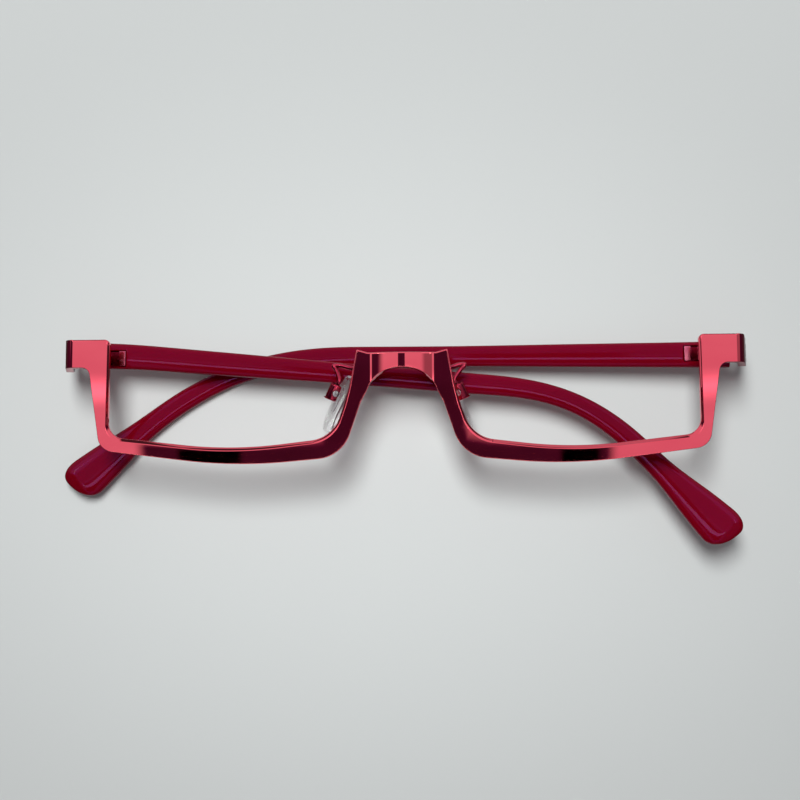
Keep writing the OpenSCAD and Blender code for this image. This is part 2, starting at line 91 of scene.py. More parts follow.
def draw(name, rows):
    """A piece whose first row of points is extruded to each next row. It stays in edit mode."""
    bpy.ops.object.select_all(action="DESELECT")
    count = len(rows[0])
    bpy.ops.mesh.primitive_circle_add(vertices=max(3, count), fill_type="NGON" if count > 2 else "NOTHING")
    obj = bpy.context.object
    obj.name = name
    bpy.ops.object.mode_set(mode="EDIT")
    bm = bmesh.from_edit_mesh(obj.data)
    order = bm.verts.layers.int.new("order")
    bm.verts.ensure_lookup_table()
    for i, v in enumerate(bm.verts):
        v[order] = i
    if count == 2:
        bmesh.ops.delete(bm, geom=[bm.verts[2]], context="VERTS")
    for k, row in enumerate(rows):
        if k:
            bpy.ops.mesh.extrude_region_move()
            bm = bmesh.from_edit_mesh(obj.data)
            order = bm.verts.layers.int["order"]
        for v in bm.verts:
            if v.select:
                v.co = row[v[order]]
        bmesh.update_edit_mesh(obj.data)
    return obj


def end_drawing(obj):
    """Turns all faces outwards and leaves edit mode."""
    bpy.ops.mesh.select_all(action="SELECT")
    bpy.ops.mesh.normals_make_consistent(inside=False)
    bpy.ops.object.mode_set(mode="OBJECT")
    obj.data.attributes.remove(obj.data.attributes["order"])
    return obj


# %% [markdown]
# ## Finishing a piece
# Real edges are never sharp. A narrow bevel on each edge catches the light, and weighted
# normals keep the flat faces flat up to it.

# %% Edge, shading and body of a piece
def apply_modifiers(obj):
    choose(obj)
    for mod in list(obj.modifiers):
        bpy.ops.object.modifier_apply(modifier=mod.name)


def round_edges(obj, width, angle=35, segments=3):
    mod = obj.modifiers.new("round", "BEVEL")
    mod.width = width
    mod.segments = segments
    mod.limit_method = "ANGLE"
    mod.angle_limit = math.radians(angle)
    mod.use_clamp_overlap = False
    apply_modifiers(obj)


def finish(obj, body, material, node, angle=45, flat=True):
    """Shades a piece, gives it a material, ties it to its body and hides the solid it replaces."""
    choose(obj)
    bpy.ops.object.shade_smooth_by_angle(angle=math.radians(angle))
    if flat:
        obj.modifiers.new("flats", "WEIGHTED_NORMAL").weight = 90
        apply_modifiers(obj)
    obj.data.materials.clear()
    obj.data.materials.append(material)
    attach(obj, body)
    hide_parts(node)
    print(obj.name, "has", len(obj.data.polygons), "faces")


FLAT_FACE = 0.9999


def keep_flat(obj):
    """Gives the faces that look straight to the front their own normals."""
    mesh = obj.data
    normals = [corner.vector.copy() for corner in mesh.corner_normals]
    for face in mesh.polygons:
        if face.normal.z > FLAT_FACE:
            for i in face.loop_indices:
                normals[i] = face.normal
    mesh.normals_split_custom_set(normals)


def copy_of(node, bevel, cut=2):
    """A merged copy of a solid, with joined flat faces and rounded edges."""
    obj = bpy.data.objects.new(node + "_fine", frame["nodes"][node].data.copy())
    bpy.context.scene.collection.objects.link(obj)
    choose(obj)
    bpy.ops.object.mode_set(mode="EDIT")
    bpy.ops.mesh.select_all(action="SELECT")
    bpy.ops.mesh.remove_doubles(threshold=0.000001)
    bpy.ops.mesh.dissolve_limited(angle_limit=math.radians(cut))
    bpy.ops.object.mode_set(mode="OBJECT")
    round_edges(obj, bevel / 1000)
    return obj


# %% [markdown]
# ## Grain
# No real surface is perfectly even. One node group gives a noise in the object's own
# coordinates, from `Low` to `High`, and each material uses it at its own scale.

# %% The grain group
def link(tree, start, end):
    tree.links.new(start, end)


def make_grain():
    tree = bpy.data.node_groups.new("surface_grain", "ShaderNodeTree")
    for label, value in (("Scale", 600.0), ("Stretch", 1.0), ("Detail", 3.0), ("Low", 0.0), ("High", 1.0)):
        socket = tree.interface.new_socket(label, in_out="INPUT", socket_type="NodeSocketFloat")
        socket.default_value = value
    tree.interface.new_socket("Grain", in_out="OUTPUT", socket_type="NodeSocketFloat")
    given, result = tree.nodes.new("NodeGroupInput"), tree.nodes.new("NodeGroupOutput")
    place, split = tree.nodes.new("ShaderNodeTexCoord"), tree.nodes.new("ShaderNodeSeparateXYZ")
    squeeze, join = tree.nodes.new("ShaderNodeMath"), tree.nodes.new("ShaderNodeCombineXYZ")
    noise, spread = tree.nodes.new("ShaderNodeTexNoise"), tree.nodes.new("ShaderNodeMapRange")
    squeeze.operation = "DIVIDE"
    link(tree, place.outputs["Object"], split.inputs[0])
    link(tree, split.outputs["X"], squeeze.inputs[0])
    link(tree, given.outputs["Stretch"], squeeze.inputs[1])
    link(tree, squeeze.outputs[0], join.inputs["X"])
    link(tree, split.outputs["Y"], join.inputs["Y"])
    link(tree, split.outputs["Z"], join.inputs["Z"])
    link(tree, join.outputs[0], noise.inputs["Vector"])
    link(tree, given.outputs["Scale"], noise.inputs["Scale"])
    link(tree, given.outputs["Detail"], noise.inputs["Detail"])
    spread.inputs["From Min"].default_value = 0.3
    spread.inputs["From Max"].default_value = 0.7
    link(tree, given.outputs["Low"], spread.inputs["To Min"])
    link(tree, given.outputs["High"], spread.inputs["To Max"])
    link(tree, noise.outputs[0], spread.inputs["Value"])
    link(tree, spread.outputs[0], result.inputs[0])
    return tree


GRAIN = make_grain()


def grain(tree, scale, stretch, detail, low, high):
    node = tree.nodes.new("ShaderNodeGroup")
    node.node_tree = GRAIN
    values = dict(Scale=scale, Stretch=stretch, Detail=detail, Low=low, High=high)
    for label, value in values.items():
        node.inputs[label].default_value = value
    return node.outputs[0]


print("grain group:", len(GRAIN.nodes), "nodes")


# %% [markdown]
# ## Parts of a material
# Each finish here needs the same few things: a shader, a base colour that drifts between two
# near colours, and sometimes small waves. A helper for each keeps the finishes short.

# %% Parts of a material
def new_material(name, **fixed):
    """A material whose even values sit on the shader's own sockets."""
    material = bpy.data.materials.new(name)
    material.use_nodes = True
    tree = material.node_tree
    shader = tree.nodes["Principled BSDF"]
    for label, value in fixed.items():
        shader.inputs[label.replace("_", " ")].default_value = value
    return material, tree, shader


def clouds(tree, shader, mask, dark, bright):
    """Varies the base colour between two near colours."""
    mix = tree.nodes.new("ShaderNodeMix")
    mix.data_type = "RGBA"
    mix.inputs["A"].default_value = (*dark, 1)
    mix.inputs["B"].default_value = (*bright, 1)
    link(tree, mask, mix.inputs["Factor"])
    link(tree, mix.outputs["Result"], shader.inputs["Base Color"])


def ripple(tree, shader, height, strength, distance):
    bump = tree.nodes.new("ShaderNodeBump")
    bump.inputs["Strength"].default_value = strength
    bump.inputs["Distance"].default_value = distance
    link(tree, height, bump.inputs["Height"])
    link(tree, bump.outputs[0], shader.inputs["Normal"])


# %% [markdown]
# ## Red lacquered metal
# The front is stamped metal under a thin clear red lacquer. It is a mirror that tints what
# it shows, so the metal shader has a red base and a low roughness with faint brushing.

# %% Red metal
RED_METAL, tree, shader = new_material("red_metal", Metallic=1.0)
clouds(tree, shader, grain(tree, 90, 3, 3, 0, 1), (0.76, 0.085, 0.13), (0.85, 0.12, 0.165))
link(tree, grain(tree, 1500, 9, 4, 0.01, 0.03), shader.inputs["Roughness"])
ripple(tree, shader, grain(tree, 160, 2, 2, 0, 1), 0.06, 0.00002)
print(RED_METAL.name, "has", len(tree.nodes), "nodes")

# %% [markdown]
# The leaves let into the temples are the same metal, painted darker as painted shade of the pocket
# they lie in, with a painted highlight at the leaf's end.

# %% Leaf metal with painted shade and a painted highlight
LEAF_SHADE_HIGHLIGHT_METAL, tree, shader = new_material("leaf_metal_painted_shade_highlight", Metallic=1.0)
place, split = tree.nodes.new("ShaderNodeTexCoord"), tree.nodes.new("ShaderNodeSeparateXYZ")
across_x, from_middle, lit_end_mask = [tree.nodes.new("ShaderNode" + kind) for kind in ("Math", "Math", "MapRange")]
across_x.operation, from_middle.operation = "SUBTRACT", "ABSOLUTE"
across_x.inputs[1].default_value = ORIGIN.x
# Nearer the middle than this edge the leaf's end gets a painted highlight; the rest has painted shade.
HIGHLIGHT_EDGE, HIGHLIGHT_FULL = 0.0600, 0.0598
lit_end_mask.inputs["From Min"].default_value = HIGHLIGHT_EDGE
lit_end_mask.inputs["From Max"].default_value = HIGHLIGHT_FULL
link(tree, place.outputs["Object"], split.inputs[0])
link(tree, split.outputs["X"], across_x.inputs[0])
link(tree, across_x.outputs[0], from_middle.inputs[0])
link(tree, from_middle.outputs[0], lit_end_mask.inputs["Value"])
clouds(tree, shader, lit_end_mask.outputs[0], (0.22, 0.014, 0.05), (0.62, 0.12, 0.22))
link(tree, grain(tree, 1500, 1, 4, 0.12, 0.25), shader.inputs["Roughness"])
print(LEAF_SHADE_HIGHLIGHT_METAL.name, "has", len(tree.nodes), "nodes")

# %% [markdown]
# The pads' small wires and boxes get a darker red metal: painted shade for the dark room they show.

# %% Red metal with painted shade, for the pad wires and boxes
WIRE_SHADE_METAL, tree, shader = new_material("wire_metal_painted_shade", Metallic=1.0)
clouds(tree, shader, grain(tree, 300, 1, 3, 0, 1), (0.34, 0.022, 0.055), (0.46, 0.04, 0.08))
link(tree, grain(tree, 1500, 1, 4, 0.03, 0.10), shader.inputs["Roughness"])
print(WIRE_SHADE_METAL.name, "has", len(tree.nodes), "nodes")

# %% [markdown]
# ## Red plastic
# The temples are cast plastic, coloured all through. The body colour is a deep crimson, and
# the skin has a weak purple shine, with small waves left by the mould.

# %% Red plastic
RED_PLASTIC, tree, shader = new_material(
    "red_plastic", IOR=1.26, Specular_Tint=(0.75, 0.06, 0.95, 1), Coat_Weight=0.05, Coat_Roughness=0.03,
    Subsurface_Weight=0.5, Subsurface_Radius=(1.0, 0.08, 0.15), Subsurface_Scale=0.002
)
clouds(tree, shader, grain(tree, 40, 4, 3, 0, 1), (0.150, 0.0006, 0.0050), (0.185, 0.0008, 0.0075))
link(tree, grain(tree, 700, 1, 3, 0.05, 0.10), shader.inputs["Roughness"])
ripple(tree, shader, grain(tree, 200, 4, 2, 0, 1), 0.10, 0.00003)
print(RED_PLASTIC.name, "has", len(tree.nodes), "nodes")

# %% [markdown]
# ## Clear pads and steel screws
# Soft clear pads bend the light a little and have faint clouding. The screws are bright
# steel with a fine turned surface.

# %% Clear silicone and steel
CLEAR, tree, shader = new_material("clear_silicone", IOR=1.14, Transmission_Weight=1.0, Coat_Weight=1.0)
clouds(tree, shader, grain(tree, 300, 1, 3, 0, 1), (0.93, 0.93, 0.95), (0.99, 0.99, 1.0))
link(tree, grain(tree, 500, 1, 3, 0.01, 0.04), shader.inputs["Roughness"])
STEEL, tree, shader = new_material("steel", Metallic=1.0)
clouds(tree, shader, grain(tree, 900, 1, 3, 0, 1), (0.52, 0.50, 0.52), (0.72, 0.71, 0.73))
link(tree, grain(tree, 4000, 1, 3, 0.16, 0.3), shader.inputs["Roughness"])
finishes = (RED_METAL, LEAF_SHADE_HIGHLIGHT_METAL, WIRE_SHADE_METAL, RED_PLASTIC, CLEAR, STEEL)
print("materials:", [m.name for m in finishes])

# %% [markdown]
# ## The front's outline
# Each corner of the rim has a point on the lens side and one on the outer side, each with
# its own radius, and a width for the chamfer between the face and the lens side.

# %% Corners of the front
FRONT_W, END_H, LENS_H, RIM_W, FRONT_T = 135.0, 5.8, 22.3, 3.4, 1.6
BULGE_HALF, BRIDGE_Y, BRIDGE_H = 6.2, -3.2, 3.05
ARCH_RISE, ARCH_HALF = 4.8, 6.9
NOSE_X = 9.25
LENS_X = NOSE_X + 50.8
BELLY_X = NOSE_X + 25.4
BEND_X = FRONT_W / 2
PILLAR_Y = -LENS_H / 2
EDGE, CHAMFER = 0.2, 0.75
ROWS = [
    ((LENS_X, 0), 1, (LENS_X + 4.2, -END_H), 2.4, 0.3),
    ((LENS_X + 0.15, 2.3 - LENS_H), 3.4, (LENS_X + 1.7, -LENS_H - RIM_W + 2.9), 3.4, CHAMFER),
    ((BELLY_X, -LENS_H - 0.6), 131, (BELLY_X - 0.6, -LENS_H - 0.6 - RIM_W), 133, CHAMFER),
    ((NOSE_X + 4.95, 1.8 - LENS_H), 7, (NOSE_X + 2.95, -LENS_H - RIM_W + 1.3), 7.5, 0.72),
    ((NOSE_X + 1.65, PILLAR_Y), 50, (NOSE_X - 0.85, PILLAR_Y - 2.1), 3, 0.3),
    ((NOSE_X, BRIDGE_Y + 0.65), 0.25, (NOSE_X - 1.95, PILLAR_Y - 0.1), 3, EDGE),
    ((BULGE_HALF + 0.8, BRIDGE_Y), 3, (BULGE_HALF + 0.55, PILLAR_Y + 1.2), 2, EDGE),
]


def arch(x):
    """Height of the bridge's lower edge at x."""
    return BRIDGE_Y - BRIDGE_H - ARCH_RISE * (1 - math.sqrt(max(0, 1 - (x / ARCH_HALF) ** 2)))


def rounded_corner(p, v, q, r, n):
    """n + 1 points on the arc of radius r that rounds the corner v between p and q."""
    p, v, q = Vector(p), Vector(v), Vector(q)
    u, w = (p - v).normalized(), (q - v).normalized()
    half = math.acos(max(-1, min(1, u.dot(w)))) / 2
    r = min(r, 0.49 * min((p - v).length, (q - v).length) * math.tan(half))
    centre = v + (u + w).normalized() * r / math.sin(half)
    s = v + u * r / math.tan(half) - centre
    e = v + w * r / math.tan(half) - centre
    start = math.atan2(s.y, s.x)
    turn = (math.atan2(e.y, e.x) - start + math.pi) % (2 * math.pi) - math.pi
    angles = [start + turn * k / n for k in range(n + 1)]
    return [centre + r * Vector((math.cos(a), math.sin(a))) for a in angles]


# %% [markdown]
# The strip is drawn flat from the middle of the bridge to the end piece, as pairs of
# points: one on the lens side and one on the outer side.

# %% Pairs of points along one half
CREASE = 0.35


def strip_pairs(corner_steps=14, bridge_steps=16, crease_steps=10):
    pairs, cuts = [], []
    columns = [(BULGE_HALF - 2 * CREASE) * k / bridge_steps for k in range(bridge_steps)]
    columns += [BULGE_HALF - 2 * CREASE + 3 * CREASE * k / crease_steps for k in range(crease_steps + 1)]
    side = Vector(ROWS[-1][2]) - Vector((BULGE_HALF, arch(BULGE_HALF)))
    for x in columns:
        past = max(0, x - BULGE_HALF)
        pairs.append(((x, BRIDGE_Y), (x, arch(min(x, BULGE_HALF)) + past * side.y / side.x)))
        cuts.append(EDGE)
    bridge_end = (pairs[-1][0], 0, pairs[-1][1], 0, EDGE)
    strip_end = ((BEND_X, 0), 0, (BEND_X, -END_H), 0, EDGE)
    rows = [bridge_end] + ROWS[::-1] + [strip_end]
    for before, row, after in zip(rows, rows[1:], rows[2:]):
        lens = rounded_corner(before[0], row[0], after[0], row[1], corner_steps)
        outer = rounded_corner(before[2], row[2], after[2], row[3], corner_steps)
        for k in range(corner_steps + 1):
            t = 2 * k / corner_steps - 1
            other = before[4] if t < 0 else after[4]
            pairs.append((tuple(lens[k]), tuple(outer[k])))
            cuts.append(row[4] + (other - row[4]) / 2 * abs(t))
    pairs.append((rows[-1][0], rows[-1][2]))
    cuts.append(EDGE)
    return pairs, cuts


pairs, cuts = strip_pairs()
print("pairs along one half:", len(pairs))

# %% [markdown]
# The end piece is bent back in the real metal, so the last rows of the drawing go round the
# bend and along the flange that carries the hinge. The bridge's curve meets the flat metal
# in a soft crease, which shows as a bright line.

# %% Flat strip, bend and flange
BEND_R, BEND, FLANGE_L = 2.0, math.radians(75), 6.4
CREASE_SOFT, CREASE_DROP = 0.04, 0.003


def bulge(x):
    """The bridge stands forward in a shallow curve."""
    if abs(x) >= BULGE_HALF + CREASE:
        return 0.0
    rise = BRIDGE_BULGE * (1 - (x / BULGE_HALF) ** 2)
    return max(0.0, (rise + math.sqrt(rise**2 + CREASE_SOFT**2)) / 2 - CREASE_DROP)


def bend_rows(steps=12):
    turns = [BEND * k / steps for k in range(1, steps + 1)]
    line = [(BEND_X + BEND_R * math.sin(a), BEND_R * (math.cos(a) - 1)) for a in turns]
    line.append((line[-1][0] + FLANGE_L * math.cos(BEND), line[-1][1] - FLANGE_L * math.sin(BEND)))
    return [[(x, 0, z), (x, -END_H, z)] for x, z in line]


flat_rows = [[(p[0], p[1], bulge(p[0])) for p in pair] for pair in pairs]
front = draw("front_fine", flat_rows + bend_rows())
bpy.ops.mesh.select_all(action="SELECT")
bpy.ops.mesh.remove_doubles(threshold=0.0005)
end_drawing(front)
print("strip reaches:", [round(v, 2) for v in front.dimensions])

# %% [markdown]
# A mirror makes the other half, and Solidify gives the strip its thickness. The chamfer is
# a bevel whose width follows the weight of each edge on the lens side.

# %% Both halves, thickness and chamfer
SAME_POINT = 0.001  # square millimetres


def weight_edges(obj, cuts_at):
    """Weights the front edges of the strip. cuts_at gives the chamfer of a lens-side point."""
    mesh = obj.data
    weights = mesh.attributes.new("bevel_weight_edge", "FLOAT", "EDGE")
    back = obj.vertex_groups["back"].index
    is_back = [any(g.group == back and g.weight > 0.5 for g in v.groups) for v in mesh.vertices]
    use = {}
    for face in mesh.polygons:
        for key in face.edge_keys:
            use.setdefault(key, []).append(face)
    for edge in mesh.edges:
        a, b = edge.vertices
        if is_back[a] or is_back[b]:
            continue
        faces = use[edge.key]
        if len(faces) == 2 and faces[0].normal.dot(faces[1].normal) < 0.5:
            cut = (cuts_at(mesh.vertices[a].co) + cuts_at(mesh.vertices[b].co)) / 2
            weights.data[edge.index].value = cut / CHAMFER if cut > 0 else 0


def lens_cut(co):
    """Chamfer width of a lens-side point, and none for any other point."""
    def apart(k):
        p = pairs[k][0]
        return (p[0] - abs(co.x)) ** 2 + (p[1] - co.y) ** 2

    best = min(range(len(pairs)), key=apart)
    return cuts[best] if apart(best) < SAME_POINT else 0.0


mirror = front.modifiers.new("other half", "MIRROR")
mirror.merge_threshold = 0.001
wall = front.modifiers.new("thickness", "SOLIDIFY")
wall.thickness = FRONT_T
wall.offset = -1.0
wall.use_even_offset = True
front.vertex_groups.new(name="back")
wall.shell_vertex_group = "back"
apply_modifiers(front)
weight_edges(front, lens_cut)
cut = front.modifiers.new("chamfer", "BEVEL")
cut.width = CHAMFER
cut.segments = 1
cut.limit_method = "WEIGHT"
cut.use_clamp_overlap = False
apply_modifiers(front)
round_edges(front, 0.1, angle=30)
front.data.transform(TO_FRAME)
finish(front, "front", RED_METAL, "front_frame", angle=60)
keep_flat(front)

# %% [markdown]
# ## Hinges
# Each hinge is a leaf on the flange, a leaf let into the temple, and a screw through both.
# Their solids have the right shape already, so copies of them only get rounded edges.

# %% Hinge leaves and screws
for side in ("left", "right"):
    leaf = copy_of(side + "_front_leaf", 0.08)
    finish(leaf, "front", RED_METAL, side + "_front_leaf")
    screw = copy_of(side + "_hinge_screw", 0.07)
    finish(screw, "front", STEEL, side + "_hinge_screw")
    plate = copy_of(side + "_temple_leaf", 0.14)
    # The temple leaf gets the metal with painted shade and a painted highlight at its end.
    finish(plate, side + "_temple_body", LEAF_SHADE_HIGHLIGHT_METAL, side + "_temple_leaf")

# %% [markdown]
# ## Temples
# A temple's middle line runs straight and then turns down behind the ear. Its height and
# thickness come from two short tables, read smoothly between their rows.

# %% Temple tables
TEMPLE_L, TIP_R, TIP_SHIFT, HOOK_FROM = 149.5, 4.6, 2.0, 94.0
TEMPLE_START, DROOP_L, HOOK_ANGLE, TIP_IN = 2.3, 20.0, 41.0, 3.0
HEIGHTS = [
    (0, 5.6), (32, 5.0), (60, 4.4), (85, 4.4), (103, 4.1),
    (118, 4.43), (130, 5.035), (141, 7.95), (TEMPLE_L, 9.6),
]
THICKS = [(0, 2.8), (60, 2.4), (110, 2.4), (138, 3.0), (TEMPLE_L, 3.0)]
LEFT = dict(sign=1, rise=0.7, droop=5.0, start=87.5, turn=40.0, lean=0.3)
RIGHT = dict(sign=-1, rise=-0.2, droop=-0.6, start=78.0, turn=58.0, lean=3.0)


def along(rows, s):
    """A value read smoothly between the rows of a table."""
    i = 0
    while i < len(rows) - 2 and s > rows[i + 1][0]:
        i += 1

    def slope(k):
        a, b = max(0, k - 1), min(len(rows) - 1, k + 1)
        return (rows[b][1] - rows[a][1]) / (rows[b][0] - rows[a][0])

    gap = rows[i + 1][0] - rows[i][0]
    t = min(1, max(0, (s - rows[i][0]) / gap))
    fall = (1 + 2 * t) * (1 - t) ** 2
    level = rows[i][1] * fall + rows[i + 1][1] * (1 - fall)
    return level + gap * t * (1 - t) * (slope(i) * (1 - t) - slope(i + 1) * t)


def smooth(t):
    t = min(1, max(0, t))
    return t * t * (3 - 2 * t)


# %% [markdown]
# The hinge axis follows from the bend and the flange. A temple is drawn along X from that
# axis, leans a little, and is mirrored for the other side.

# %% Place of a temple
KNUCKLE_R = 1.2
REACH = KNUCKLE_R + 0.15
FLANGE_END = Vector((
    BEND_X + BEND_R * math.sin(BEND) + FLANGE_L * math.cos(BEND),
    0,
    BEND_R * (math.cos(BEND) - 1) - FLANGE_L * math.sin(BEND),
))
HINGE = FLANGE_END + Vector((
    REACH * math.cos(BEND) - KNUCKLE_R * math.sin(BEND),
    -END_H / 2,
    -REACH * math.sin(BEND) - KNUCKLE_R * math.cos(BEND),
))


def temple_point(p, side):
    a = math.radians(side["lean"])
    x = p[0] * math.cos(a) + p[2] * math.sin(a)
    z = p[2] * math.cos(a) - p[0] * math.sin(a)
    return Vector((side["sign"] * (x - HINGE.x), HINGE.y + p[1], HINGE.z + z))


print("hinge axis:", HINGE)


# %% [markdown]
# The section is a soft rounded rectangle. At the tip the rings shrink along a blunt curve,
# which closes the paddle.

# %% Rings of a temple
SQUARENESS = 0.72
TIP_BLUNT, TIP_LEAST, TIP_THIN = 2.1, 0.06, 0.12


def soft(c):
    """Turns a circle's sine or cosine into that of a rounded rectangle."""
    return math.copysign(abs(c) ** SQUARENESS, c)


def temple_rings(side, steps=130, tip_steps=12, n=40):
    def angle(s):
        hook = smooth((s - side["start"]) / side["turn"])
        return math.radians(side["droop"] * smooth(s / DROOP_L) + HOOK_ANGLE * hook)

    tips = [math.sin(math.pi / 2 * k / tip_steps) for k in range(tip_steps + 1)]
    lengths = [(TEMPLE_L - TEMPLE_START - TIP_R) / steps] * steps
    lengths += [TIP_R * (b - a) for a, b in zip(tips, tips[1:])]
    s, x, y = TEMPLE_START, TEMPLE_START, side["rise"]
    rings = []
    for step_l in lengths + [0]:
        a = angle(s)
        t = min(1, max(0, (s - TEMPLE_L + TIP_R) / TIP_R))
        grow = max(TIP_LEAST, (1 - t**TIP_BLUNT) ** (1 / TIP_BLUNT))
        h = along(HEIGHTS, s) * grow / 2
        thick = along(THICKS, s)
        w = thick * min(1, TIP_THIN + grow) / 2
        mid = thick / 2 - KNUCKLE_R + TIP_IN * (max(0, s - HOOK_FROM) / (TEMPLE_L - HOOK_FROM)) ** 2
        ring = []
        for j in range(n):
            q = -2 * math.pi * (j + 0.5) / n
            v = TIP_SHIFT * (1 - grow) + h * soft(math.cos(q))
            place = (x + v * math.sin(a), y + v * math.cos(a), mid + w * soft(math.sin(q)))
            ring.append(temple_point(place, side))
        rings.append(ring)
        mid_a = angle(s + step_l / 2)
        x += step_l * math.cos(mid_a)
        y -= step_l * math.sin(mid_a)
        s += step_l
    return rings


# %% [markdown]
# The hinge leaf lies in a pocket. A rounded block is cut out of the temple with a boolean,
# and a small bevel softens the lip that the cut leaves.

# %% Temples with their pockets
POCKET_AT, POCKET_SIZE, POCKET_ROUND = (4.4, 0, 1.8), (14.8, 3.4, 3.6), 0.3


def pocket_block(side):
    bpy.ops.object.select_all(action="DESELECT")
    bpy.ops.mesh.primitive_cube_add(size=1, location=POCKET_AT)
    block = bpy.context.object
    block.scale = POCKET_SIZE
    bpy.ops.object.transform_apply(location=True, rotation=False, scale=True)
    for v in block.data.vertices:
        v.co = temple_point(v.co, side)
    bpy.ops.object.mode_set(mode="EDIT")
    bpy.ops.mesh.select_all(action="SELECT")
    bpy.ops.mesh.normals_make_consistent(inside=False)
    bpy.ops.mesh.bevel(offset=POCKET_ROUND, segments=4)
    bpy.ops.object.mode_set(mode="OBJECT")
    return block


for name, side in (("left", LEFT), ("right", RIGHT)):
    temple = end_drawing(draw(name + "_temple_fine", temple_rings(side)))
    block = pocket_block(side)
    mod = temple.modifiers.new("pocket", "BOOLEAN")
    mod.operation = "DIFFERENCE"
    mod.object = block
    mod.solver = "EXACT"
    apply_modifiers(temple)
    bpy.data.objects.remove(block)
    round_edges(temple, 0.1, angle=50, segments=2)
    temple.data.transform(TO_FRAME)
    body = name + "_temple_body"
    finish(temple, body, RED_PLASTIC, name + "_temple", angle=50, flat=False)

# %% [markdown]
# ## Nose pads
# Each pad stands splayed, pitched and tilted beside the nose. It is drawn in its own place
# (across, along, out of its back) and turned into the frame.

# %% Place and outline of a pad
PAD_L, PAD_W, PAD_T = 12.6, 5.6, 1.9
PAD_AT, RIGHT_IN = Vector((-13.1, -13.3, -5.0)), 2.3
PAD_TURN = (
    Matrix.Rotation(math.radians(-26), 3, "Z")
    @ Matrix.Rotation(math.radians(10), 3, "X")
    @ Matrix.Rotation(math.radians(-67), 3, "Y")
)
PAD_TAPER = 0.14
LEVELS = [
    (0.5, 0.86), (0.47, 0.93), (0.4, 0.975), (0.25, 1), (0.0, 1.0),
    (-0.2, 0.965), (-0.34, 0.88), (-0.43, 0.74), (-0.48, 0.56), (-0.5, 0.3),
]


def pad_point(p, sign):
    v = PAD_AT + PAD_TURN @ Vector(p)
    return Vector((sign * (v.x + (RIGHT_IN if sign < 0 else 0)), v.y, v.z))


def pad_ring(depth, wide, sign, n=48):
    ring = []
    for j in range(n):
        q = 2 * math.pi * j / n
        y = soft(math.sin(q))
        x = PAD_W / 2 * wide * soft(math.cos(q)) * (1 - PAD_TAPER * y)
        ring.append(pad_point((x, PAD_L / 2 * y * (wide + 1) / 2, PAD_T * depth), sign))
    return ring


# %% [markdown]
# The pad hangs on a bent wire. The wire leaves the back of the pillar, makes a loop, and
# ends in a small box whose cross screw holds the pad's tab.

# %% Route of the wire
SCREW_UP, SCREW_OUT, BOX_L, WIRE_D = 1.9, 2.15, 3.4, 0.95
BOX_TOP = SCREW_UP + BOX_L / 2
ROUTE = [
    ((-8.8, -6.3, -FRONT_T - 0.02), 0),
    ((-8.9, -6.3, -2.5), 0),
    ((-10.6, -6, -3.5), 0.25),
    ((-12.8, -5.4, -4.1), 0.5),
    ((-14.2, -5.4, -4.3), 0.6),
    ((-13.6, -6.5, -4.2), 0.75),
    (PAD_AT + PAD_TURN @ Vector((0, BOX_TOP + 1, SCREW_OUT)), 1),
    (PAD_AT + PAD_TURN @ Vector((0, BOX_TOP + 0.02, SCREW_OUT)), 1),
]


def wire_rings(sign, steps=10, n=18):
    points = [Vector(p) + Vector((RIGHT_IN * bent if sign < 0 else 0, 0, 0)) for p, bent in ROUTE]
    line = []
    for i in range(len(points) - 1):
        p0, p1 = points[max(0, i - 1)], points[i]
        p2, p3 = points[i + 1], points[min(len(points) - 1, i + 2)]
        for t in [k / steps for k in range(steps)]:
            squared = (2 * p0 - 5 * p1 + 4 * p2 - p3) * t**2
            cubed = (3 * p1 - p0 - 3 * p2 + p3) * t**3
            line.append(0.5 * (2 * p1 + (p2 - p0) * t + squared + cubed))
    line.append(points[-1])
    side, rings = Vector((0, 1, 0)), []
    for i, p in enumerate(line):
        ahead = (line[min(len(line) - 1, i + 1)] - line[max(0, i - 1)]).normalized()
        if i in (0, len(line) - 1):
            ahead = Vector((0, 0, -1)) if i == 0 else PAD_TURN @ Vector((0, -1, 0))
        side = (side - ahead * side.dot(ahead)).normalized()
        other = ahead.cross(side)
        turns = [2 * math.pi * j / n for j in range(n)]
        ring = [p + WIRE_D / 2 * (side * math.cos(q) + other * math.sin(q)) for q in turns]
        rings.append([Vector((sign * v.x, v.y, v.z)) for v in ring])
    return rings


# %% [markdown]
# Pads and wires are drawn again with more points than their solids have. The cores, boxes and
# screws have flat faces, so copies with rounded edges are enough.

# %% Pads, cores, wires, boxes and screws
for name, sign in (("left", 1), ("right", -1)):
    rings = [pad_ring(depth, wide, sign) for depth, wide in LEVELS]
    pad = end_drawing(draw(name + "_nose_pad_fine", rings))
    pad.data.transform(TO_FRAME)
    finish(pad, name + "_pad_body", CLEAR, name + "_nose_pad", angle=60, flat=False)
    core = copy_of(name + "_pad_core", 0.06)
    finish(core, name + "_pad_body", CLEAR, name + "_pad_core")
    wire = end_drawing(draw(name + "_pad_arm_fine", wire_rings(sign)))
    wire.data.transform(TO_FRAME)
    # The wire and its box get the red metal with painted shade.
    finish(wire, "front", WIRE_SHADE_METAL, name + "_pad_arm", angle=60, flat=False)
    box = copy_of(name + "_pad_box", 0.4)
    finish(box, "front", WIRE_SHADE_METAL, name + "_pad_box")
    screw = copy_of(name + "_pad_screw", 0.04)
    finish(screw, "front", STEEL, name + "_pad_screw")
